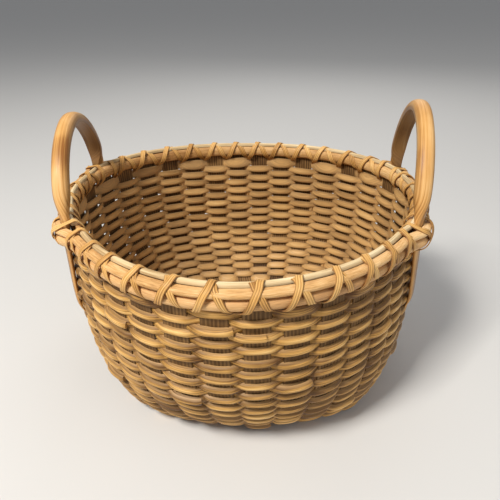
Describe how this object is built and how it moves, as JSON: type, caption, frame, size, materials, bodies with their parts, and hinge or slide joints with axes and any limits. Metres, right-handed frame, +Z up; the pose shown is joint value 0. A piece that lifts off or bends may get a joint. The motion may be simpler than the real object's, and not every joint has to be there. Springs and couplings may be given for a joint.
{
  "type": "woven basket",
  "caption": "Round-mouthed woven reed basket with a squared base, a rim of lashed hoops and fixed bentwood side handles to carry it by.",
  "frame": {"origin": "on the ground, under the middle of the basket's outline", "axes": "+X from the left handle to the right handle, +Y from the front to the back, +Z up"},
  "size_m": [0.3872, 0.3756, 0.286],
  "materials": {
    "stake_reed": "flat ribbed reed, matt, dry",
    "weaver_reed": "half-round reed, satin, honey tan",
    "hoop_wood": "half-round hoop, smooth, satin",
    "filler_reed": "thin reed strip, matt",
    "lashing_cane": "flat ribbed cane, satin",
    "handle_wood": "bent wood, smooth, golden brown"
  },
  "bodies": {
    "root": {"cross_stake_01": "stake_reed", "cross_stake_02": "stake_reed", "cross_stake_03": "stake_reed", "cross_stake_04": "stake_reed", "cross_stake_05": "stake_reed", "cross_stake_06": "stake_reed", "cross_stake_07": "stake_reed", "cross_stake_08": "stake_reed", "inner_hoop": "hoop_wood", "left_handle": "handle_wood", "long_stake_01": "stake_reed", "long_stake_02": "stake_reed", "long_stake_03": "stake_reed", "long_stake_04": "stake_reed", "long_stake_05": "stake_reed", "long_stake_06": "stake_reed", "long_stake_07": "stake_reed", "long_stake_08": "stake_reed", "long_stake_09": "stake_reed", "long_stake_10": "stake_reed", "outer_hoop": "hoop_wood", "over_lashing": "lashing_cane", "right_handle": "handle_wood", "rim_filler": "filler_reed", "under_lashing": "lashing_cane", "weaver_row_01": "weaver_reed", "weaver_row_02": "weaver_reed", "weaver_row_03": "weaver_reed", "weaver_row_04": "weaver_reed", "weaver_row_05": "weaver_reed", "weaver_row_06": "weaver_reed", "weaver_row_07": "weaver_reed", "weaver_row_08": "weaver_reed", "weaver_row_09": "weaver_reed", "weaver_row_10": "weaver_reed", "weaver_row_11": "weaver_reed", "weaver_row_12": "weaver_reed", "weaver_row_13": "weaver_reed", "weaver_row_14": "weaver_reed", "weaver_row_15": "weaver_reed", "weaver_row_16": "weaver_reed", "weaver_row_17": "weaver_reed", "weaver_row_18": "weaver_reed", "weaver_row_19": "weaver_reed", "weaver_row_20": "weaver_reed", "weaver_row_21": "weaver_reed", "weaver_row_22": "weaver_reed", "weaver_row_23": "weaver_reed", "weaver_row_24": "weaver_reed", "weaver_row_25": "weaver_reed", "weaver_row_26": "weaver_reed", "weaver_row_27": "weaver_reed", "weaver_row_28": "weaver_reed"}
  },
  "joints": []
}
